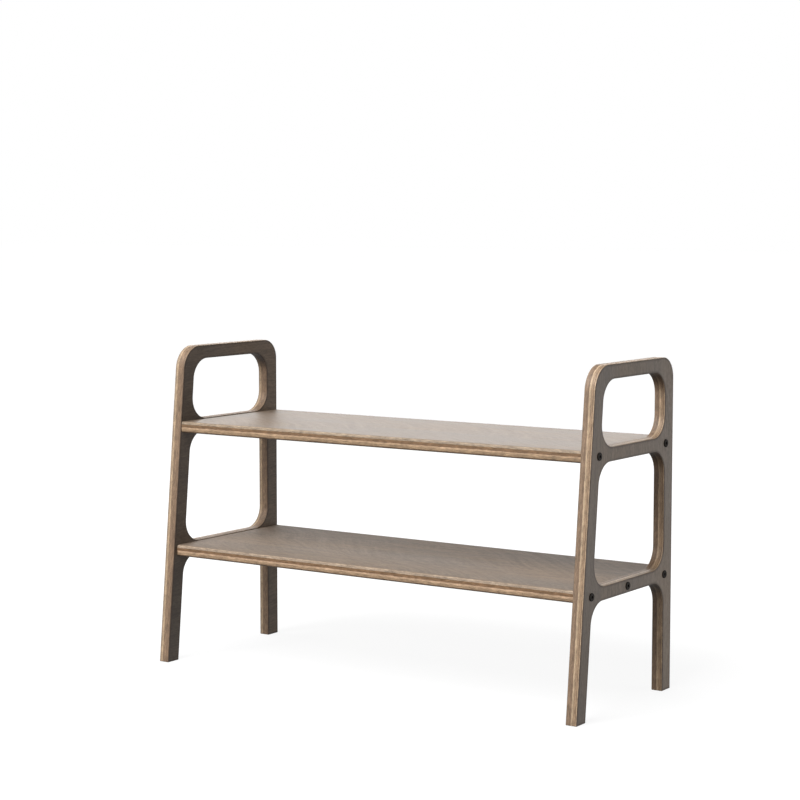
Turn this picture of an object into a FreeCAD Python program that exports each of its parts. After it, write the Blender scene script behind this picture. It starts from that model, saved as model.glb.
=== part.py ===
import FreeCAD, Part
import math
import os

from FreeCAD import Vector

# Shoe bench in millimetres: X along the bench, front at -Y, Z up from the floor

# Overall sizes, without the bolt heads
bench_length = 770.0
bench_height = 508.0
floor_depth = 291.0
top_depth = 240.5

# Plywood sheet
panel_thickness = 18.0
board_thickness = 18.0
board_edge_radius = 4.0

# Boards: height of the upper face, and setback behind the panels' front edge
seat_height = 387.5
shelf_height = 188.5
seat_setback = 1.0
shelf_setback = 7.0

# Side panel: widths of its legs and rails, and the radii of its corners
front_leg_width = 26.0
rear_leg_width = 26.5
top_rail_height = 21.5
seat_rail_height = 21.0
shelf_rail_height = 20.5
front_corner_radius = 38.0
rear_corner_radius = 32.0
window_corner_radius = 34.0
foot_corner_radius = 1.0

# Furniture bolt: low flat head with a hex socket
bolt_diameter = 6.0
head_overhang = 3.0
head_height = 1.6
socket_width = 4.0
socket_depth = 2.6

# Slotted insert nut, screwed into the end of a board for the bolt
insert_wall = 2.5
insert_length = 15.0
insert_sink = 0.5
insert_slot_width = 1.5
insert_slot_depth = 2.0
bolt_past_insert = 6.5

# Bolt places, in from the panel's front edge and from its rear edge
front_bolt_inset = 22.3
rear_bolt_inset = 24.0
middle_bolt_forward = 4.0

# Clearances
bolt_hole_clearance = 0.4
thread_clearance = 0.05
insert_clearance = 0.05
tip_clearance = 1.0
cut_overrun = 1.0

# Sizes that follow from those above
rear_edge = floor_depth / 2
rear_inner_edge = rear_edge - rear_leg_width
inner_half_length = bench_length / 2 - panel_thickness
seat_middle = seat_height - board_thickness / 2
shelf_middle = shelf_height - board_thickness / 2
bolt_radius = bolt_diameter / 2
head_radius = bolt_radius + head_overhang
insert_radius = bolt_radius + insert_wall
bolt_in_board = insert_sink + insert_length + bolt_past_insert

centre = Vector(0, 0, 0)
to_right = Vector(1, 0, 0)
to_left = Vector(-1, 0, 0)
upward = Vector(0, 0, 1)


def front_edge(height):
    """Y of the panel's leaning front edge at a height above the floor."""
    return -rear_edge + (floor_depth - top_depth) * height / bench_height


def front_inner_edge(height):
    """Y of the front leg's inner edge, parallel to the front edge."""
    return front_edge(height) + front_leg_width


def rounded_outline(corners):
    """Closed wire in the YZ plane through (y, z, radius) corners, with a tangent arc at each corner."""
    points = [Vector(0, y, z) for y, z, radius in corners]
    arcs = []
    for index, corner in enumerate(points):
        to_last = points[index - 1] - corner
        to_next = points[(index + 1) % len(points)] - corner
        half_angle = to_last.getAngle(to_next) / 2
        longest_tangent = 0.49 * min(to_last.Length, to_next.Length)
        radius = min(corners[index][2], longest_tangent * math.tan(half_angle))
        to_last.normalize()
        to_next.normalize()
        inward = to_last + to_next
        inward.normalize()
        tangent = radius / math.tan(half_angle)
        start = corner + to_last * tangent
        middle = corner + inward * (radius / math.sin(half_angle) - radius)
        end = corner + to_next * tangent
        arcs.append((start, middle, end))
    edges = []
    for index, (start, middle, end) in enumerate(arcs):
        edges.append(Part.LineSegment(arcs[index - 1][2], start).toShape())
        edges.append(Part.Arc(start, middle, end).toShape())
    return Part.Wire(edges)


def window_outline(low, high):
    """Outline of an opening between the legs, from one rail's upper edge to the next rail's lower edge."""
    return rounded_outline([
        (front_inner_edge(low), low, window_corner_radius),
        (rear_inner_edge, low, window_corner_radius),
        (rear_inner_edge, high, window_corner_radius),
        (front_inner_edge(high), high, window_corner_radius),
    ])


def panel_outline():
    """Outer outline of a side panel, with the gap between its two legs open to the floor."""
    gap_top = shelf_middle - shelf_rail_height / 2
    return rounded_outline([
        (front_edge(0), 0, foot_corner_radius),
        (front_inner_edge(0), 0, foot_corner_radius),
        (front_inner_edge(gap_top), gap_top, window_corner_radius),
        (rear_inner_edge, gap_top, window_corner_radius),
        (rear_inner_edge, 0, foot_corner_radius),
        (rear_edge, 0, foot_corner_radius),
        (rear_edge, bench_height, rear_corner_radius),
        (front_edge(bench_height), bench_height, front_corner_radius),
    ])


def rod(radius, length):
    """Round rod from x = 0 towards the bench's left end."""
    return Part.makeCylinder(radius, length, centre, to_left)


def facing(side, solid):
    """Copy of a solid that faces the right end (side 1), or turned half round to face the left end (side -1)."""
    return solid.rotated(centre, upward, 0 if side > 0 else 180)


def bolt_places(board_middle, with_middle):
    """Places of the bolts at one end of a board, by name, as (y, z)."""
    front = front_edge(board_middle) + front_bolt_inset
    rear = rear_edge - rear_bolt_inset
    places = {"front": (front, board_middle), "rear": (rear, board_middle)}
    if with_middle:
        places["middle"] = ((front + rear) / 2 - middle_bolt_forward, board_middle)
    return places


board_bolts = {
    "seat": bolt_places(seat_middle, with_middle=False),
    "shelf": bolt_places(shelf_middle, with_middle=True),
}


def right_side_panel():
    """Ladder-shaped side panel: two legs, three rails, and the holes for the bolts."""
    seat_rail_low = seat_middle - seat_rail_height / 2
    seat_rail_high = seat_middle + seat_rail_height / 2
    shelf_rail_high = shelf_middle + shelf_rail_height / 2
    outlines = [
        panel_outline(),
        window_outline(shelf_rail_high, seat_rail_low),
        window_outline(seat_rail_high, bench_height - top_rail_height),
    ]
    panel = Part.Face(outlines, "Part::FaceMakerBullseye").extrude(to_right * panel_thickness)
    panel.translate(to_right * inner_half_length)
    hole = rod(bolt_radius + bolt_hole_clearance, panel_thickness + 2 * cut_overrun)
    holes = []
    for places in board_bolts.values():
        for y, z in places.values():
            holes.append(hole.translated(Vector(bench_length / 2 + cut_overrun, y, z)))
    return panel.cut(holes)


def board(name, upper_face, setback):
    """Board between the panels, with rounded long edges and square ends, bored at the ends for its insert nuts."""
    front = front_edge(upper_face - board_thickness / 2) + setback
    corner = Vector(-inner_half_length, front, upper_face - board_thickness)
    blank = Part.makeBox(2 * inner_half_length, rear_edge - front, board_thickness, corner)
    long_edges = [edge for edge in blank.Edges if edge.BoundBox.XLength > inner_half_length]
    rounded = blank.makeFillet(board_edge_radius, long_edges)
    bore = rod(insert_radius + insert_clearance, cut_overrun + bolt_in_board + tip_clearance)
    bores = []
    for y, z in board_bolts[name].values():
        for side in (1, -1):
            mouth = Vector(side * (inner_half_length + cut_overrun), y, z)
            bores.append(facing(side, bore).translated(mouth))
    return rounded.cut(bores)


def bolt():
    """Bolt along the X axis: the head's flat seat at x = 0, the shank towards -X."""
    head = Part.makeCylinder(head_radius, head_height, centre, to_right)
    shank = rod(bolt_radius, panel_thickness + bolt_in_board)
    corner_radius = socket_width / math.sqrt(3)
    corners = []
    for index in range(7):
        angle = index * math.pi / 3
        corners.append(Vector(head_height, corner_radius * math.sin(angle), corner_radius * math.cos(angle)))
    socket = Part.Face(Part.makePolygon(corners)).extrude(to_left * socket_depth)
    return head.fuse(shank).cut(socket)


def insert_nut():
    """Insert nut along the X axis: its slotted end at x = 0, its body towards -X."""
    thread_hole = rod(bolt_radius + thread_clearance, insert_length)
    slot_reach = insert_radius + cut_overrun
    slot_corner = Vector(-insert_slot_depth, -slot_reach, -insert_slot_width / 2)
    slot = Part.makeBox(insert_slot_depth + cut_overrun, 2 * slot_reach, insert_slot_width, slot_corner)
    return rod(insert_radius, insert_length).cut([thread_hole, slot])


right_panel = right_side_panel()
pieces = {
    "right_side_panel": right_panel,
    "left_side_panel": right_panel.mirror(centre, to_right),
    "seat_board": board("seat", seat_height, seat_setback),
    "shoe_shelf": board("shelf", shelf_height, shelf_setback),
}

one_bolt = bolt()
one_insert_nut = insert_nut()
for side_name, side in (("right", 1), ("left", -1)):
    for board_name, places in board_bolts.items():
        board_end = side_name + "_" + board_name
        insert_nuts = []
        for place_name, (y, z) in places.items():
            head_seat = Vector(side * bench_length / 2, y, z)
            insert_face = Vector(side * (inner_half_length - insert_sink), y, z)
            pieces[board_end + "_bolt_" + place_name] = facing(side, one_bolt).translated(head_seat)
            insert_nuts.append(facing(side, one_insert_nut).translated(insert_face))
        pieces[board_end + "_insert_nuts"] = Part.makeCompound(insert_nuts)

os.makedirs("parts", exist_ok=True)
for name, piece in pieces.items():
    piece.exportStep("parts/" + name + ".step")
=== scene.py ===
import math
import bpy
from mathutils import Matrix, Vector


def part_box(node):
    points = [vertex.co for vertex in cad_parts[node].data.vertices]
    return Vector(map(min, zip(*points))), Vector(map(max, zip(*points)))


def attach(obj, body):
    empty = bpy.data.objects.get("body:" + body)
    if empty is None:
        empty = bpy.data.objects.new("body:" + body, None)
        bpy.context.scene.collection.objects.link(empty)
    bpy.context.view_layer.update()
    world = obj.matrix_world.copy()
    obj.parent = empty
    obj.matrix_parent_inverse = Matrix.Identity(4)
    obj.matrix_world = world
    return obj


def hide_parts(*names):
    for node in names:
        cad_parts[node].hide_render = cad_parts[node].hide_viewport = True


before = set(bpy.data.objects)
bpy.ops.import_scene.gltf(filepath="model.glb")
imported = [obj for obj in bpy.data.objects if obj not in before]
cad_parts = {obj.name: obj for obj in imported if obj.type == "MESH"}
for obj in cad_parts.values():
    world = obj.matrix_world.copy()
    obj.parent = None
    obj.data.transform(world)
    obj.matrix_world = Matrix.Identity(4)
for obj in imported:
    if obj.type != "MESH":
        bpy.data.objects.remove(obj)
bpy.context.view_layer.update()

# Side panel, in metres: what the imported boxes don't give
panel_top_depth = 0.2405
front_leg_width = 0.026
rear_leg_width = 0.0265
top_rail_height = 0.0215
seat_rail_height = 0.021
shelf_rail_height = 0.0205
front_corner_radius = 0.038
rear_corner_radius = 0.032
window_corner_radius = 0.034
panel_edge_easing = 0.001

# Seat and shelf boards
board_edge_radius = 0.004
board_end_easing = 0.0005

# Furniture bolt: low flat head, hex socket, plain neck, thread
bolt_radius = 0.003
head_radius = 0.006
head_height = 0.0016
head_rim_easing = 0.00035
socket_width = 0.004
socket_depth = 0.0026
socket_sides = 6
neck_length = 0.004
neck_shoulder = 0.00004
bolt_pitch = 0.001
bolt_thread_depth = 0.0006
bolt_hole_clearance = 0.0004

# Insert nut in the end of a board
insert_radius = 0.0055
insert_pitch = 0.0025
insert_thread_depth = 0.0009
insert_slot_width = 0.0015
insert_slot_depth = 0.002
insert_clearance = 0.00005
tip_clearance = 0.001

# Modelling: the steps of round shapes, and how near counts as the same
corner_steps = 20
board_edge_steps = 8
easing_steps = 4
round_steps = 48
thread_steps = 24
spare_thread_turns = 2
thread_crest_share = 0.25
round_profile = 0.5
cutter_overrun = 0.005
same_place = 0.00001
same_cut = 0.0000001
sharp_angle = math.radians(40)
flat_share = 0.999
quarter_turn = math.pi / 2
half_turn = math.pi

# Plywood: the tones of the plies, each sheet's plies from first face to last, and the glue between them
sheet_thickness = 0.018
ply_tones = {
    "cream": (0.360, 0.275, 0.195),
    "sand": (0.300, 0.228, 0.162),
    "pale": (0.430, 0.310, 0.200),
    "honey": (0.412, 0.278, 0.176),
    "tan": (0.311, 0.210, 0.128),
    "brown": (0.232, 0.154, 0.098),
    "russet": (0.205, 0.133, 0.083),
    "umber": (0.189, 0.110, 0.059),
    "stained": (0.074, 0.045, 0.027),
    "glue": (0.118, 0.068, 0.038),
}
right_panel_plies = (
    ("stained", 0.0007), ("pale", 0.0014), ("umber", 0.0010), ("tan", 0.0018),
    ("tan", 0.0021), ("pale", 0.0028), ("russet", 0.0015), ("russet", 0.0015),
    ("brown", 0.0022), ("brown", 0.0022), ("stained", 0.0008),
)
left_panel_plies = (
    ("stained", 0.0004), ("tan", 0.0013), ("cream", 0.0014), ("pale", 0.0029),
    ("brown", 0.0020), ("brown", 0.0021), ("brown", 0.0022), ("russet", 0.0022),
    ("russet", 0.0022), ("stained", 0.0013),
)
board_plies = (
    ("sand", 0.0022), ("sand", 0.0022), ("umber", 0.0022), ("umber", 0.0023),
    ("honey", 0.0030), ("tan", 0.0017), ("tan", 0.0018), ("brown", 0.0015),
    ("stained", 0.0011),
)
glue_line = 0.0002
ply_waviness = 0.0015

# Noise: its middle, and the range that holds most of it
noise_middle = 0.5
noise_range = (0.3, 0.7)

# Grain: each rate is in cycles for each metre, along the grain, across it and through the sheet
sway_rate = (2.2, 7.0, 7.0)
sway_reach = 0.11
figure_rate = (2.5, 70.0, 70.0)
strand_rate = (26.0, 420.0, 420.0)
fleck_rate = (150.0, 380.0, 380.0)
fleck_share = 0.6
pore_rate = (95.0, 1900.0, 1900.0)
pore_range = (0.62, 0.72)
streak_rate = (7.0, 120.0, 20.0)
streak_angle = math.radians(-40)
patch_rate = (4.0, 9.0, 4.0)
patch_range = (0.36, 0.6)
least_patch = 0.25
ply_grain_shift = 4.0
pore_sink = 0.8
grain_bump_strength = 0.35
grain_bump_height = 0.00015

# Cut edges of the plies: each pair of tones is the darkest and the lightest
wave_rate = (40.0, 40.0, 40.0)
mottle_rate = (60.0, 60.0, 150.0)
mottle_tones = (0.85, 1.15)
speckle_rate = (110.0, 110.0, 1100.0)
speckle_tones = (0.54, 1.46)
fibre_tones = (0.88, 1.12)
edge_pore_share = 0.35
edge_roughness_range = (0.48, 0.60)

# Painted shade on cut edges that face down, and the upward parts of the normal between which it ends
painted_shade_facing = (-0.8, 0.0)

# Arrises that face up, made pale by painted light: the upward parts of the normal and the depths between
# which it changes
painted_light_tone = (0.30, 0.208, 0.132)
painted_light_facing = (0.05, 0.5)
painted_light_depths = (0.001, 0.0014)

# Stained face veneer, and the depths between which its stain ends
stain_depths = (0.00028, 0.000455)
stain_wave_share = 0.2
veneer_dark = (0.15, 0.114, 0.084)
veneer_light = (0.25, 0.196, 0.148)
veneer_range = (-0.2, 1.2)
fibre_contrast = 0.7
pore_colour = (0.045, 0.034, 0.027)
face_pore_share = 0.5
warmth_rate = (3.5, 9.0, 3.5)
warmth_range = (0.35, 0.65)
cool_tint = (0.96, 1.0, 1.07)
warm_tint = (1.04, 1.0, 0.95)
drift_reach = 0.15
arris_border = 0.0035
# The panels' dark rim along their arrises: partly stain, partly painted shade
dark_rim_and_painted_shade = (0.055, 0.035, 0.021)
warm_rim = (0.20, 0.145, 0.102)
rim_power = 1.4
rim_speckle_range = (0.35, 0.65)
least_rim = 0.6

# The four sheets: the plies, the face veneer and the cut edges of each.
# Their face and edge tones are partly the wood's own, partly painted light and shade
sheets = {
    "right_panel": {
        "plies": right_panel_plies,
        "face_tone_and_painted_light": (0.97, 0.99, 1.03),
        "face_roughness_range": (0.42, 0.52),
        "reflection": 0.5,
        "rim_tone_and_shade": dark_rim_and_painted_shade,
        "ripple_contrast": 0.7,
        "front_to_rear_tone_and_light": 0.17,
        "edge_tone_and_painted_light": (1.0, 1.0, 1.0),
        "painted_shade_tone": 0.2,
        "painted_light_share": 0.8,
    },
    "left_panel": {
        "plies": left_panel_plies,
        "face_tone_and_painted_light": (0.72, 0.69, 0.66),
        "face_roughness_range": (0.44, 0.54),
        "reflection": 0.5,
        "rim_tone_and_shade": dark_rim_and_painted_shade,
        "ripple_contrast": 1.6,
        "front_to_rear_tone_and_light": 0.25,
        "edge_tone_and_painted_light": (1.0, 1.0, 1.0),
        "painted_shade_tone": 0.2,
        "painted_light_share": 0.8,
    },
    "seat": {
        "plies": board_plies,
        "face_tone_and_painted_light": (0.99, 0.95, 0.92),
        "face_roughness_range": (0.42, 0.50),
        "reflection": 0.42,
        "rim_tone_and_shade": warm_rim,
        "ripple_contrast": 3.0,
        "front_to_rear_tone_and_light": -0.05,
        "edge_tone_and_painted_light": (1.0, 1.0, 0.98),
        "painted_shade_tone": 1.0,
        "painted_light_share": 0.0,
    },
    "shelf": {
        "plies": board_plies,
        "face_tone_and_painted_light": (1.06, 1.015, 0.97),
        "face_roughness_range": (0.58, 0.68),
        "reflection": 0.25,
        "rim_tone_and_shade": warm_rim,
        "ripple_contrast": 3.0,
        "front_to_rear_tone_and_light": -0.15,
        "edge_tone_and_painted_light": (1.09, 1.10, 1.13),
        "painted_shade_tone": 1.0,
        "painted_light_share": 0.0,
    },
}
shelf_grain_shift = 3.0

# Steel of the bolts and the insert nuts: each pair of tones is the darkest and the lightest
bolt_mottle_rate = (900.0, 900.0, 900.0)
bolt_tones = ((0.008, 0.006, 0.004), (0.020, 0.015, 0.011))
bolt_roughness = (0.40, 0.58)
bolt_reflection = 0.12
bolt_bump_strength = 0.2
bolt_bump_height = 0.00005
zinc_mottle_rate = (400.0, 400.0, 400.0)
zinc_tones = ((0.50, 0.48, 0.42), (0.66, 0.64, 0.60))
zinc_roughness = (0.28, 0.45)

# Sockets of Blender's Mix node, which has some for values and others for colours
mix_factor = 0
mix_value_inputs = (2, 3)
mix_value_output = 0
mix_colour_inputs = (6, 7)
mix_colour_output = 2

# Camera, as the photograph was taken, and the picture's own size
camera_place = (1.791, -2.673, 0.7271)
camera_pitch = math.radians(5.221)
camera_yaw = math.radians(34.03)
camera_focal_pixels = 2079.0
picture_pixels = 800.0
sensor_width = 36.0

# Studio
white = (1, 1, 1, 1)
floor_size = 60.0
floor_colour = (0.11, 0.11, 0.11, 1)
floor_roughness = 0.9
floor_glow = 0.89
floor_shadow_reach = 0.4
floor_white_from = 0.9
floor_reflection = 0.4
ambient_light = 0.03

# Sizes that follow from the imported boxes
panel_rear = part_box("right_side_panel")[1].y
panel_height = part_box("right_side_panel")[1].z
right_outer_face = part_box("right_side_panel")[1].x
seat_middle = (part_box("seat_board")[0].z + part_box("seat_board")[1].z) / 2
shelf_middle = (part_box("shoe_shelf")[0].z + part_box("shoe_shelf")[1].z) / 2
front_slope = (2 * panel_rear - panel_top_depth) / panel_height
lean_angle = math.atan(front_slope)
bolt_nodes = sorted(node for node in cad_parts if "_bolt_" in node)
insert_nodes = sorted(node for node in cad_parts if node.endswith("_insert_nuts"))


def front_edge(height):
    """Y of a panel's leaning front edge at a height above the floor."""
    return -panel_rear + front_slope * height


def box_middle(node):
    """Middle of a node's box."""
    low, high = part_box(node)
    return (low + high) / 2


def inner_end(node):
    """How far a fastener's inner end is from the middle of the bench."""
    low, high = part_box(node)
    return min(abs(low.x), abs(high.x))


def outer_end(node):
    """How far a fastener's outer end is from the middle of the bench."""
    low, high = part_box(node)
    return max(abs(low.x), abs(high.x))


def box_length(node):
    """Length of a node's box along the bench."""
    low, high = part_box(node)
    return high.x - low.x


# Modelling by hand

def deselect_all():
    """Leaves nothing selected, so that the next operator takes only what it adds."""
    bpy.ops.object.select_all(action="DESELECT")


def make_active(piece):
    """Leaves one piece selected and active."""
    deselect_all()
    piece.select_set(True)
    bpy.context.view_layer.objects.active = piece


def enter_edit_mode():
    """Goes into edit mode on the active piece."""
    bpy.ops.object.mode_set(mode="EDIT")


def leave_edit_mode():
    """Goes back to object mode."""
    bpy.ops.object.mode_set(mode="OBJECT")


def settle_in_mesh():
    """Puts the active piece's place, turn and size into its mesh."""
    bpy.ops.object.transform_apply(location=True, rotation=True, scale=True)


def name_new_piece(name):
    """Names the piece that was just added, and settles it."""
    piece = bpy.context.object
    piece.name = name
    piece.data.name = name
    settle_in_mesh()
    return piece


def start_block(name, low, high):
    """Block between two corners, as the start of a piece."""
    deselect_all()
    low = Vector(low)
    high = Vector(high)
    bpy.ops.mesh.primitive_cube_add(size=1, location=(low + high) / 2, scale=high - low)
    return name_new_piece(name)


def start_rod(name, radius, start, end, y, z, steps=round_steps):
    """Rod along X between two ends, as the start of a piece."""
    deselect_all()
    bpy.ops.mesh.primitive_cylinder_add(
        vertices=steps,
        radius=radius,
        depth=abs(end - start),
        location=((start + end) / 2, y, z),
        rotation=(0, quarter_turn, 0),
    )
    return name_new_piece(name)


def select_edges(piece, wanted):
    """Goes into edit mode with the edges selected whose two ends pass a test."""
    make_active(piece)
    enter_edit_mode()
    bpy.ops.mesh.select_mode(type="EDGE")
    bpy.ops.mesh.select_all(action="DESELECT")
    leave_edit_mode()
    points = [vertex.co for vertex in piece.data.vertices]
    for edge in piece.data.edges:
        edge.select = all(wanted(points[index]) for index in edge.vertices)
    enter_edit_mode()


def apply_modifier(piece, modifier):
    """Makes a modifier's result the piece's own mesh."""
    make_active(piece)
    bpy.ops.object.modifier_apply(modifier=modifier.name)


def combine(piece, other, operation):
    """Cuts another piece out of this one, or joins it on, and clears the other away."""
    boolean = piece.modifiers.new("combine", "BOOLEAN")
    boolean.operation = operation
    boolean.solver = "EXACT"
    boolean.object = other
    apply_modifier(piece, boolean)
    bpy.data.objects.remove(other)


def ease_edges(piece, width):
    """Rounds every sharp edge of a piece."""
    bevel = piece.modifiers.new("ease", "BEVEL")
    bevel.width = width
    bevel.segments = easing_steps
    bevel.limit_method = "ANGLE"
    bevel.angle_limit = sharp_angle
    apply_modifier(piece, bevel)


def smooth(piece):
    """Smooth shading that keeps the large flat faces flat."""
    make_active(piece)
    bpy.ops.object.shade_smooth_by_angle(angle=sharp_angle)
    weighted = piece.modifiers.new("weighted", "WEIGHTED_NORMAL")
    weighted.keep_sharp = True
    apply_modifier(piece, weighted)


def mark_arrises(piece, on_face):
    """Insets a piece's faces by a narrow border, and keeps a mask of that border and the edges."""
    make_active(piece)
    enter_edit_mode()
    bpy.ops.mesh.select_mode(type="FACE")
    bpy.ops.mesh.select_all(action="DESELECT")
    leave_edit_mode()
    for polygon in piece.data.polygons:
        polygon.select = on_face(polygon.normal)
    enter_edit_mode()
    bpy.ops.mesh.inset(thickness=arris_border, use_even_offset=True)
    leave_edit_mode()
    mask = piece.data.attributes.new("arris", "FLOAT", "POINT")
    for vertex in piece.data.vertices:
        mask.data[vertex.index].value = 0.0 if vertex.select else 1.0


def finish_piece(piece, material, node):
    """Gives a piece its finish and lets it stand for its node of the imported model."""
    piece.data.materials.clear()
    piece.data.materials.append(material)
    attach(piece, "root")
    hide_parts(node)


# Side panels

def leaning_block(name, low_x, high_x, bottom, top, front_inset, rear_inset):
    """Block with an upright rear face and a front face parallel to the panel's leaning front edge."""
    front = front_edge(bottom) + front_inset
    block = start_block(name, (low_x, front, bottom), (high_x, panel_rear - rear_inset, top))

    def upper_front(point):
        return abs(point.y - front) < same_place and abs(point.z - top) < same_place

    select_edges(block, upper_front)
    bpy.ops.transform.translate(value=(0, front_slope * (top - bottom), 0))
    leave_edit_mode()
    return block


def round_corner(piece, y, z, radius, inner_angle, steps=corner_steps):
    """Rounds the corner of a block that runs along X at a place, where two faces meet at an angle."""
    def on_corner(point):
        return abs(point.y - y) < same_place and abs(point.z - z) < same_place

    select_edges(piece, on_corner)
    bpy.ops.mesh.bevel(
        offset_type="OFFSET",
        offset=radius / math.tan(inner_angle / 2),
        segments=steps,
        profile=round_profile,
        affect="EDGES",
    )
    leave_edit_mode()


def window_cutter(low_x, high_x, bottom, top):
    """Cutter for an opening between the legs; one that starts under the floor is rounded at its top only."""
    cutter = leaning_block(
        "window_cutter", low_x - cutter_overrun, high_x + cutter_overrun, bottom, top,
        front_leg_width, rear_leg_width,
    )
    front_top = front_edge(top) + front_leg_width
    front_bottom = front_edge(bottom) + front_leg_width
    rear = panel_rear - rear_leg_width
    round_corner(cutter, front_top, top, window_corner_radius, quarter_turn + lean_angle)
    round_corner(cutter, rear, top, window_corner_radius, quarter_turn)
    if bottom > 0:
        round_corner(cutter, front_bottom, bottom, window_corner_radius, quarter_turn - lean_angle)
        round_corner(cutter, rear, bottom, window_corner_radius, quarter_turn)
    return cutter


def side_panel(name, node):
    """Ladder-shaped side panel: a leaning block with rounded upper corners, three openings and bolt holes."""
    low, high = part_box(node)
    panel = leaning_block(name, low.x, high.x, 0, panel_height, 0, 0)
    front_top = front_edge(panel_height)
    round_corner(panel, front_top, panel_height, front_corner_radius, quarter_turn + lean_angle)
    round_corner(panel, panel_rear, panel_height, rear_corner_radius, quarter_turn)
    openings = (
        (-cutter_overrun, shelf_middle - shelf_rail_height / 2),
        (shelf_middle + shelf_rail_height / 2, seat_middle - seat_rail_height / 2),
        (seat_middle + seat_rail_height / 2, panel_height - top_rail_height),
    )
    for bottom, top in openings:
        combine(panel, window_cutter(low.x, high.x, bottom, top), "DIFFERENCE")
    ease_edges(panel, panel_edge_easing)
    mark_arrises(panel, lambda normal: abs(normal.x) > flat_share)
    for bolt_node in bolt_nodes:
        middle = box_middle(bolt_node)
        if middle.x * low.x > 0:
            hole = start_rod(
                "bolt_hole", bolt_radius + bolt_hole_clearance,
                low.x - cutter_overrun, high.x + cutter_overrun, middle.y, middle.z,
            )
            combine(panel, hole, "DIFFERENCE")
    smooth(panel)
    return panel


# Seat and shelf boards

def board(name, node):
    """Board with its long edges rounded and its ends eased, bored at both ends for its insert nuts."""
    low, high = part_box(node)
    piece = start_block(name, low, high)
    for y in (low.y, high.y):
        for z in (low.z, high.z):
            round_corner(piece, y, z, board_edge_radius, quarter_turn, board_edge_steps)
    ease_edges(piece, board_end_easing)
    mark_arrises(piece, lambda normal: abs(normal.z) > flat_share)
    for bolt_node in bolt_nodes:
        middle = box_middle(bolt_node)
        if low.z < middle.z < high.z:
            side = math.copysign(1, middle.x)
            bore_end = inner_end(bolt_node) - tip_clearance
            bore = start_rod(
                "insert_bore", insert_radius + insert_clearance,
                side * bore_end, side * (high.x + cutter_overrun), middle.y, middle.z,
            )
            combine(piece, bore, "DIFFERENCE")
    smooth(piece)
    return piece


# Bolts and insert nuts

def thread_profile(name, crest_radius, thread_depth, pitch):
    """Open line of one thread's flanks and crest, at one side of the Z axis."""
    deselect_all()
    flank_middle = crest_radius - thread_depth / 2
    bpy.ops.mesh.primitive_plane_add(size=1, location=(flank_middle, 0, 0), rotation=(quarter_turn, 0, 0))
    bpy.context.object.scale = (thread_depth, pitch, 1)
    profile = name_new_piece(name)
    make_active(profile)
    enter_edit_mode()
    bpy.ops.mesh.delete(type="ONLY_FACE")
    leave_edit_mode()
    select_edges(profile, lambda point: point.x < flank_middle)
    bpy.ops.mesh.delete(type="EDGE")
    leave_edit_mode()
    select_edges(profile, lambda point: point.x > flank_middle)
    bpy.ops.transform.resize(value=(1, 1, thread_crest_share), center_override=(crest_radius, 0, 0))
    leave_edit_mode()
    return profile


def threaded_rod(name, crest_radius, thread_depth, pitch, length):
    """Rod along -X from x = 0, with a thread: a profile is screwed along and cut square at both ends."""
    rod = thread_profile(name, crest_radius, thread_depth, pitch)
    screw = rod.modifiers.new("thread", "SCREW")
    screw.axis = "Z"
    screw.screw_offset = pitch
    screw.iterations = math.ceil(length / pitch) + spare_thread_turns
    screw.steps = thread_steps
    screw.render_steps = thread_steps
    screw.use_merge_vertices = True
    screw.merge_threshold = same_place
    apply_modifier(rod, screw)
    make_active(rod)
    enter_edit_mode()
    bpy.ops.mesh.select_all(action="SELECT")
    bpy.ops.mesh.remove_doubles(threshold=same_place)
    for height, outward in ((pitch, -1), (pitch + length, 1)):
        bpy.ops.mesh.select_all(action="SELECT")
        bpy.ops.mesh.bisect(
            plane_co=(0, 0, height), plane_no=(0, 0, outward), use_fill=True, clear_outer=True,
            threshold=same_cut,
        )
    bpy.ops.mesh.select_all(action="SELECT")
    bpy.ops.mesh.normals_make_consistent(inside=False)
    leave_edit_mode()
    rod.location.z = -pitch
    settle_in_mesh()
    rod.rotation_euler = (0, -quarter_turn, 0)
    settle_in_mesh()
    return rod


def model_bolt(length):
    """Bolt along X: its head's flat seat at x = 0, its shank towards -X."""
    bolt = start_rod("bolt", head_radius, 0, head_height, 0, 0)
    ease_edges(bolt, head_rim_easing)
    neck = start_rod("neck", bolt_radius, -neck_length, head_height / 2, 0, 0)
    combine(bolt, neck, "UNION")
    crest_radius = bolt_radius - neck_shoulder
    thread = threaded_rod("thread", crest_radius, bolt_thread_depth, bolt_pitch, length)
    combine(bolt, thread, "UNION")
    socket = start_rod(
        "socket", socket_width / math.sqrt(3), head_height - socket_depth, head_height + cutter_overrun,
        0, 0, steps=socket_sides,
    )
    combine(bolt, socket, "DIFFERENCE")
    smooth(bolt)
    return bolt


def model_insert_nut(length):
    """Insert nut along X: its slotted end at x = 0, its body towards -X, with a coarse thread outside."""
    nut = threaded_rod("insert_nut", insert_radius, insert_thread_depth, insert_pitch, length)
    bore = start_rod(
        "bore", bolt_radius + insert_clearance, -length - cutter_overrun, cutter_overrun, 0, 0
    )
    combine(nut, bore, "DIFFERENCE")
    reach = insert_radius + cutter_overrun
    half_slot = insert_slot_width / 2
    slot = start_block("slot", (-insert_slot_depth, -reach, -half_slot), (cutter_overrun, reach, half_slot))
    combine(nut, slot, "DIFFERENCE")
    smooth(nut)
    return nut


def place_copy(model, name, place, side):
    """Copy of a fastener with its own mesh, turned to face the right end (1) or the left end (-1)."""
    piece = model.copy()
    piece.data = model.data.copy()
    piece.name = name
    piece.data.name = name
    bpy.context.collection.objects.link(piece)
    make_active(piece)
    piece.rotation_euler = (0, 0, 0 if side > 0 else half_turn)
    piece.location = place
    settle_in_mesh()
    return piece


# Material nodes

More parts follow.
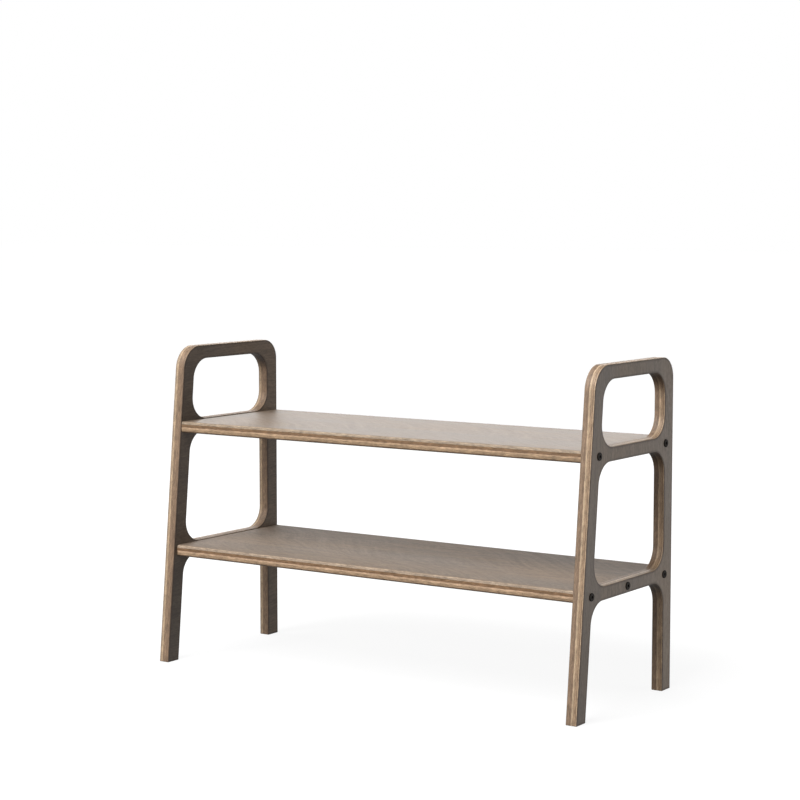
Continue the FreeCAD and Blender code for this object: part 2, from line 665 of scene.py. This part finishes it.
def place_node(tree, kind, inputs=None, **settings):
    """Adds a node with its settings, and sets or links its inputs."""
    node = tree.nodes.new(kind)
    for name, value in settings.items():
        setattr(node, name, value)
    for name, value in (inputs or {}).items():
        if isinstance(value, bpy.types.NodeSocket):
            tree.links.new(value, node.inputs[name])
        else:
            node.inputs[name].default_value = value
    return node


def calculate(tree, operation, *values):
    """Math node on sockets or numbers."""
    node = place_node(tree, "ShaderNodeMath", dict(enumerate(values)), operation=operation)
    return node.outputs[0]


def multiply(tree, first, second):
    """Product of two sockets or numbers."""
    return calculate(tree, "MULTIPLY", first, second)


def mix_colours(tree, factor, first, second, blend="MIX"):
    """Mix of two colours."""
    node = place_node(tree, "ShaderNodeMix", {mix_factor: factor}, data_type="RGBA", blend_type=blend)
    for index, colour in zip(mix_colour_inputs, (first, second)):
        if isinstance(colour, bpy.types.NodeSocket):
            tree.links.new(colour, node.inputs[index])
        else:
            node.inputs[index].default_value = (*colour, 1)
    return node.outputs[mix_colour_output]


def tinted(tree, colour, tint):
    """Colour times a tint."""
    return mix_colours(tree, 1.0, colour, tint, "MULTIPLY")


def mix_values(tree, factor, first, second):
    """Mix of two values."""
    inputs = {mix_factor: factor, mix_value_inputs[0]: first, mix_value_inputs[1]: second}
    return place_node(tree, "ShaderNodeMix", inputs, data_type="FLOAT").outputs[mix_value_output]


def remap(tree, value, from_low, from_high, to_low, to_high):
    """Value moved from one range to another and held inside it."""
    inputs = {
        "Value": value, "From Min": from_low, "From Max": from_high, "To Min": to_low, "To Max": to_high,
    }
    return place_node(tree, "ShaderNodeMapRange", inputs).outputs[0]


def noise(tree, position, rate, detail=2.0, roughness=0.5):
    """Noise with its own rate, in cycles for each metre, along each axis."""
    scaled = place_node(tree, "ShaderNodeVectorMath", {0: position, 1: rate}, operation="MULTIPLY")
    inputs = {"Vector": scaled.outputs[0], "Scale": 1.0, "Detail": detail, "Roughness": roughness}
    return place_node(tree, "ShaderNodeTexNoise", inputs).outputs[0]


def centred(tree, noise_value):
    """Noise moved to lie around zero."""
    return calculate(tree, "SUBTRACT", noise_value, noise_middle)


def spread(tree, noise_value, low, high):
    """Noise spread over a range of its own."""
    return remap(tree, noise_value, *noise_range, low, high)


def new_group(name, inputs, outputs):
    """Empty shader node group: its tree, and its input and output nodes."""
    tree = bpy.data.node_groups.new(name, "ShaderNodeTree")
    for socket_name, kind in inputs:
        tree.interface.new_socket(name=socket_name, in_out="INPUT", socket_type=kind)
    for socket_name, kind in outputs:
        tree.interface.new_socket(name=socket_name, in_out="OUTPUT", socket_type=kind)
    return tree, tree.nodes.new("NodeGroupInput"), tree.nodes.new("NodeGroupOutput")


def new_material(name):
    """Material with an empty tree, and its Principled shader."""
    material = bpy.data.materials.new(name)
    material.use_nodes = True
    tree = material.node_tree
    tree.nodes.clear()
    shader = tree.nodes.new("ShaderNodeBsdfPrincipled")
    output = tree.nodes.new("ShaderNodeOutputMaterial")
    tree.links.new(shader.outputs[0], output.inputs["Surface"])
    return material, tree, shader


def add_bump(tree, shader, height, strength, distance):
    """Fine relief on a shader's surface."""
    inputs = {"Height": height, "Strength": strength, "Distance": distance}
    bump = place_node(tree, "ShaderNodeBump", inputs)
    tree.links.new(bump.outputs[0], shader.inputs["Normal"])


# Plywood

def wood_grain_group():
    """Grain of one ply, from a position whose X runs along the grain: figure, fibres, pores and ripple."""
    tree, given, result = new_group(
        "wood grain",
        [("Position", "NodeSocketVector")],
        [(name, "NodeSocketFloat") for name in ("Figure", "Fibres", "Pores", "Ripple")],
    )
    position = given.outputs["Position"]
    sway = multiply(tree, centred(tree, noise(tree, position, sway_rate, detail=1.0)), sway_reach)
    shift = place_node(tree, "ShaderNodeCombineXYZ", {"Y": sway}).outputs[0]
    swayed = place_node(tree, "ShaderNodeVectorMath", {0: position, 1: shift}, operation="ADD").outputs[0]
    figure = noise(tree, swayed, figure_rate, detail=4.0, roughness=0.6)
    strands = noise(tree, swayed, strand_rate, detail=3.0, roughness=0.75)
    flecks = noise(tree, swayed, fleck_rate, detail=2.0, roughness=0.6)
    fibres = calculate(tree, "MULTIPLY_ADD", centred(tree, flecks), fleck_share, strands)
    pores = remap(tree, noise(tree, swayed, pore_rate, detail=1.0), *pore_range, 0.0, 1.0)
    slanted = place_node(
        tree, "ShaderNodeMapping", {"Vector": swayed, "Rotation": (0, 0, streak_angle)}
    ).outputs[0]
    streaks = noise(tree, slanted, streak_rate, detail=4.0, roughness=0.7)
    patches = remap(tree, noise(tree, position, patch_rate, detail=1.0), *patch_range, least_patch, 1.0)
    ripple = multiply(tree, centred(tree, streaks), patches)
    for name, value in (("Figure", figure), ("Fibres", fibres), ("Pores", pores), ("Ripple", ripple)):
        tree.links.new(value, result.inputs[name])
    return tree


def step_ramp(tree, value, steps):
    """Colour ramp without blending, from (start, colour) steps."""
    ramp = place_node(tree, "ShaderNodeValToRGB", {"Fac": value})
    ramp.color_ramp.interpolation = "CONSTANT"
    stops = ramp.color_ramp.elements
    stops.remove(stops[1])
    stops[0].color = (*steps[0][1], 1)
    for start, colour in steps[1:]:
        stops.new(start).color = (*colour, 1)
    return ramp.outputs[0]


def ply_ramps(tree, depth, plies):
    """Tone at a depth in the sheet, with its glue lines, the ply's number, and if its grain is crossed."""
    total = sum(thickness for tone, thickness in plies)
    tones = []
    numbers = []
    face = 0.0
    for index, (tone, thickness) in enumerate(plies):
        if index:
            tones.append(((face - glue_line / 2) / total, ply_tones["glue"]))
        tones.append(((face + glue_line / 2) / total, ply_tones[tone]))
        numbers.append((face / total, (index / len(plies), index % 2, 0)))
        face += thickness
    parts = place_node(tree, "ShaderNodeSeparateColor", {0: step_ramp(tree, depth, numbers)})
    return step_ramp(tree, depth, tones), parts.outputs[0], parts.outputs[1]


def cut_edge_colour(tree, sheet, in_sheet, ply_tone, speckle, grain, facing_up):
    """Colour of the cut plies: speckled, and with painted shade on the edges that face down."""
    mottle = noise(tree, in_sheet, mottle_rate)
    tone = multiply(tree, spread(tree, mottle, *mottle_tones), spread(tree, speckle, *speckle_tones))
    tone = multiply(tree, tone, spread(tree, grain["Fibres"], *fibre_tones))
    # Painted shade: cut edges that face down are darkened, as if in shadow
    tone = multiply(tree, tone, remap(tree, facing_up, *painted_shade_facing, sheet["painted_shade_tone"], 1.0))
    colour = tinted(tree, ply_tone, tone)
    # Edge tone of each sheet: partly its own, partly painted light and shade
    colour = tinted(tree, colour, sheet["edge_tone_and_painted_light"])
    pores = multiply(tree, grain["Pores"], edge_pore_share)
    return mix_colours(tree, pores, colour, ply_tones["stained"])


def face_veneer_colour(tree, sheet, in_sheet, across, speckle, grain):
    """Colour of the stained face veneer: its grain, cool and warm places, drift, pores and rim.
    Its tone, its drift and the panels' dark rim are partly painted light and shade.
    """
    fibre_tone = spread(tree, grain["Fibres"], -fibre_contrast, fibre_contrast)
    tone = calculate(tree, "ADD", spread(tree, grain["Figure"], 0.0, 1.0), fibre_tone)
    tone = calculate(tree, "MULTIPLY_ADD", grain["Ripple"], sheet["ripple_contrast"], tone)
    tone = remap(tree, tone, *veneer_range, 0.0, 1.0)
    colour = mix_colours(tree, tone, veneer_dark, veneer_light)
    warmth = remap(tree, noise(tree, in_sheet, warmth_rate), *warmth_range, 0.0, 1.0)
    tint = mix_colours(tree, warmth, cool_tint, warm_tint)
    # Face tone of each sheet: partly its own, partly painted light and shade
    tint = tinted(tree, tint, sheet["face_tone_and_painted_light"])
    # Drift from front to rear: partly the veneer's own tone, partly painted light and shade
    most_drift = sheet["front_to_rear_tone_and_light"]
    drift = remap(tree, across, -drift_reach, drift_reach, 1 - most_drift, 1 + most_drift)
    tint = tinted(tree, tint, drift)
    colour = tinted(tree, colour, tint)
    pores = multiply(tree, grain["Pores"], face_pore_share)
    colour = mix_colours(tree, pores, colour, pore_colour)
    # Rim along the arrises; on the panels it is partly painted shade
    arris = place_node(tree, "ShaderNodeAttribute", attribute_name="arris").outputs["Fac"]
    rim = calculate(tree, "POWER", arris, rim_power)
    rim = multiply(tree, rim, remap(tree, speckle, *rim_speckle_range, least_rim, 1.0))
    return mix_colours(tree, rim, colour, sheet["rim_tone_and_shade"])


def plywood(name, grain_group, turn, shift):
    """Stained plywood, solid right through: the depth in the sheet decides the ply, its grain and colour."""
    material, tree, shader = new_material(name + "_plywood")
    sheet = sheets[name]
    coordinates = place_node(tree, "ShaderNodeTexCoord").outputs
    in_sheet = place_node(
        tree, "ShaderNodeMapping", {"Vector": coordinates["Object"], "Rotation": turn, "Location": shift}
    ).outputs[0]
    along, across, through = place_node(tree, "ShaderNodeSeparateXYZ", {0: in_sheet}).outputs
    facing_up = place_node(tree, "ShaderNodeSeparateXYZ", {0: coordinates["Normal"]}).outputs["Z"]

    waviness = noise(tree, in_sheet, wave_rate, detail=3.0, roughness=0.6)
    wave = multiply(tree, centred(tree, waviness), ply_waviness)
    depth = calculate(tree, "DIVIDE", calculate(tree, "ADD", through, wave), sheet_thickness)
    ply_tone, ply_number, crossed = ply_ramps(tree, depth, sheet["plies"])
    ply_position = place_node(tree, "ShaderNodeCombineXYZ", {
        "X": mix_values(tree, crossed, along, across),
        "Y": mix_values(tree, crossed, across, along),
        "Z": calculate(tree, "ADD", through, multiply(tree, ply_number, ply_grain_shift)),
    }).outputs[0]
    grain = place_node(tree, "ShaderNodeGroup", {"Position": ply_position}, node_tree=grain_group).outputs

    speckle = noise(tree, in_sheet, speckle_rate, detail=3.0, roughness=0.65)
    edge_colour = cut_edge_colour(tree, sheet, in_sheet, ply_tone, speckle, grain, facing_up)
    face_colour = face_veneer_colour(tree, sheet, in_sheet, across, speckle, grain)
    to_last_face = calculate(tree, "SUBTRACT", sheet_thickness, through)
    to_face = calculate(tree, "MINIMUM", through, to_last_face)
    to_face = calculate(tree, "MULTIPLY_ADD", wave, stain_wave_share, to_face)
    stain = remap(tree, to_face, *stain_depths, 1.0, 0.0)
    colour = mix_colours(tree, stain, edge_colour, face_colour)
    # Painted light: arrises that face up are made pale, as if lit from above
    near_face = remap(tree, to_face, *painted_light_depths, sheet["painted_light_share"], 0.0)
    painted_light = multiply(tree, near_face, remap(tree, facing_up, *painted_light_facing, 0.0, 1.0))
    colour = mix_colours(tree, painted_light, colour, painted_light_tone)
    tree.links.new(colour, shader.inputs["Base Color"])

    face_roughness = spread(tree, grain["Figure"], *sheet["face_roughness_range"])
    edge_roughness = spread(tree, grain["Fibres"], *edge_roughness_range)
    tree.links.new(mix_values(tree, stain, edge_roughness, face_roughness), shader.inputs["Roughness"])
    shader.inputs["Specular IOR Level"].default_value = sheet["reflection"]
    relief = calculate(tree, "SUBTRACT", grain["Fibres"], multiply(tree, grain["Pores"], pore_sink))
    add_bump(tree, shader, relief, grain_bump_strength, grain_bump_height)
    return material


# Steel

def add_mottle(tree, shader, rate, tones, roughness):
    """Gives a shader a fine mottle in its tone and roughness, and returns the mottle."""
    place = place_node(tree, "ShaderNodeTexCoord").outputs["Object"]
    mottle = noise(tree, place, rate, detail=3.0)
    colour = mix_colours(tree, spread(tree, mottle, 0.0, 1.0), *tones)
    tree.links.new(colour, shader.inputs["Base Color"])
    tree.links.new(spread(tree, mottle, *roughness), shader.inputs["Roughness"])
    return mottle


def black_bolt_steel():
    """Black oxide steel of the bolts, with a fine relief."""
    material, tree, shader = new_material("black_bolt_steel")
    mottle = add_mottle(tree, shader, bolt_mottle_rate, bolt_tones, bolt_roughness)
    shader.inputs["Specular IOR Level"].default_value = bolt_reflection
    add_bump(tree, shader, mottle, bolt_bump_strength, bolt_bump_height)
    return material


def zinc_steel():
    """Zinc-plated steel of the hidden insert nuts."""
    material, tree, shader = new_material("zinc_steel")
    add_mottle(tree, shader, zinc_mottle_rate, zinc_tones, zinc_roughness)
    shader.inputs["Metallic"].default_value = 1.0
    return material


# The bench

grain_group = wood_grain_group()
for side_name, turn in (("right", quarter_turn), ("left", -quarter_turn)):
    name = side_name + "_panel"
    node = side_name + "_side_panel"
    finish = plywood(name, grain_group, (0, turn, 0), (0, 0, right_outer_face))
    finish_piece(side_panel(name, node), finish, node)

for name, node, grain_shift in (("seat", "seat_board", 0.0), ("shelf", "shoe_shelf", shelf_grain_shift)):
    upper_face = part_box(node)[1].z
    finish = plywood(name, grain_group, (half_turn, 0, 0), (grain_shift, 0, upper_face))
    finish_piece(board(name, node), finish, node)

bolt_finish = black_bolt_steel()
bolt_model = model_bolt(box_length(bolt_nodes[0]) - head_height)
for node in bolt_nodes:
    middle = box_middle(node)
    side = math.copysign(1, middle.x)
    head_seat = outer_end(node) - head_height
    place = (side * head_seat, middle.y, middle.z)
    board_end, bolt_place = node.split("_bolt_")
    bolt = place_copy(bolt_model, board_end + "_" + bolt_place + "_bolt", place, side)
    finish_piece(bolt, bolt_finish, node)
bpy.data.objects.remove(bolt_model)

insert_finish = zinc_steel()
insert_model = model_insert_nut(box_length(insert_nodes[0]))
for node in insert_nodes:
    side = math.copysign(1, box_middle(node).x)
    slotted_end = outer_end(node)
    board_end = node.removesuffix("_insert_nuts")
    nuts = []
    for bolt_node in bolt_nodes:
        if bolt_node.startswith(board_end):
            middle = box_middle(bolt_node)
            place = (side * slotted_end, middle.y, middle.z)
            nuts.append(place_copy(insert_model, board_end + "_nuts", place, side))
    make_active(nuts[0])
    for nut in nuts:
        nut.select_set(True)
    bpy.ops.object.join()
    finish_piece(nuts[0], insert_finish, node)
bpy.data.objects.remove(insert_model)


# Floor, light and camera

def area_light(name, place, target, width, depth, power):
    """Soft light that faces a target and doesn't show itself to the camera."""
    deselect_all()
    bpy.ops.object.light_add(type="AREA", location=place)
    light = bpy.context.object
    light.name = name
    light.rotation_euler = (Vector(target) - Vector(place)).to_track_quat("-Z", "Y").to_euler()
    light.data.shape = "RECTANGLE"
    light.data.size = width
    light.data.size_y = depth
    light.data.energy = power
    light.visible_camera = False


def pale_floor():
    """Wide pale floor, which glows for the camera: as white as the background, with faint shadows."""
    deselect_all()
    bpy.ops.mesh.primitive_plane_add(size=floor_size, location=(0, 0, 0))
    floor = bpy.context.object
    floor.name = "floor"
    material, tree, shader = new_material("pale_floor")
    shader.inputs["Base Color"].default_value = floor_colour
    shader.inputs["Roughness"].default_value = floor_roughness
    shader.inputs["Specular IOR Level"].default_value = 0.0
    shader.inputs["Emission Color"].default_value = white
    place = place_node(tree, "ShaderNodeTexCoord").outputs["Object"]
    away = place_node(tree, "ShaderNodeVectorMath", {0: place}, operation="LENGTH").outputs["Value"]
    glow = remap(tree, away, floor_shadow_reach, floor_white_from, floor_glow, 1.0)
    path = place_node(tree, "ShaderNodeLightPath")
    seen = multiply(tree, path.outputs["Is Camera Ray"], glow)
    strength = calculate(tree, "MULTIPLY_ADD", path.outputs["Is Glossy Ray"], floor_reflection, seen)
    tree.links.new(strength, shader.inputs["Emission Strength"])
    floor.data.materials.append(material)


def white_surroundings():
    """Surroundings that the camera sees as white, and that give a weak light from all sides."""
    world = bpy.data.worlds.new("studio")
    bpy.context.scene.world = world
    world.use_nodes = True
    tree = world.node_tree
    seen = place_node(tree, "ShaderNodeLightPath").outputs["Is Camera Ray"]
    background = tree.nodes["Background"]
    background.inputs["Color"].default_value = white
    tree.links.new(mix_values(tree, seen, ambient_light, 1.0), background.inputs["Strength"])


def photograph_camera():
    """Camera at the photograph's place and angle."""
    deselect_all()
    bpy.ops.object.camera_add(
        location=camera_place, rotation=(quarter_turn - camera_pitch, 0, camera_yaw)
    )
    camera = bpy.context.object
    camera.data.sensor_width = sensor_width
    camera.data.lens = sensor_width * camera_focal_pixels / picture_pixels
    bpy.context.scene.camera = camera
    bpy.context.scene.view_settings.view_transform = "Standard"


# Each soft light: its name, its place, what it faces, its width and depth in metres, and its power in watts
bench_middle = (0, 0, panel_height / 2)
over_seat = (0, 0, 0.4)
right_legs = (right_outer_face, 0, 0.2)
right_feet = (right_outer_face, 0, 0.1)
left_legs = (-right_outer_face, 0, 0.25)
lights = (
    ("front_key", (-0.4, -3.75, 3.53), bench_middle, 3.1, 3.4, 328),
    ("overhead", (-0.8, 0.2, 2.6), bench_middle, 0.8, 1.2, 9),
    ("front_top", (-0.1, -1.1, 2.5), bench_middle, 1.2, 0.8, 18),
    ("front_low", (-0.5, -2.4, 0.35), bench_middle, 1.0, 0.5, 5),
    ("right_side", (1.6, 0.75, 0.3), right_legs, 0.8, 0.8, 7.8),
    ("right_floor", (1.3, -0.3, 0.12), right_feet, 0.6, 0.2, 1.4),
    ("left_side", (-2.2, -0.2, 1.0), left_legs, 1.0, 1.0, 12),
    ("back_wall", (-1.6, 2.6, 1.5), over_seat, 4.6, 1.2, 54),
)

pale_floor()
white_surroundings()
for light in lights:
    area_light(*light)
photograph_camera()
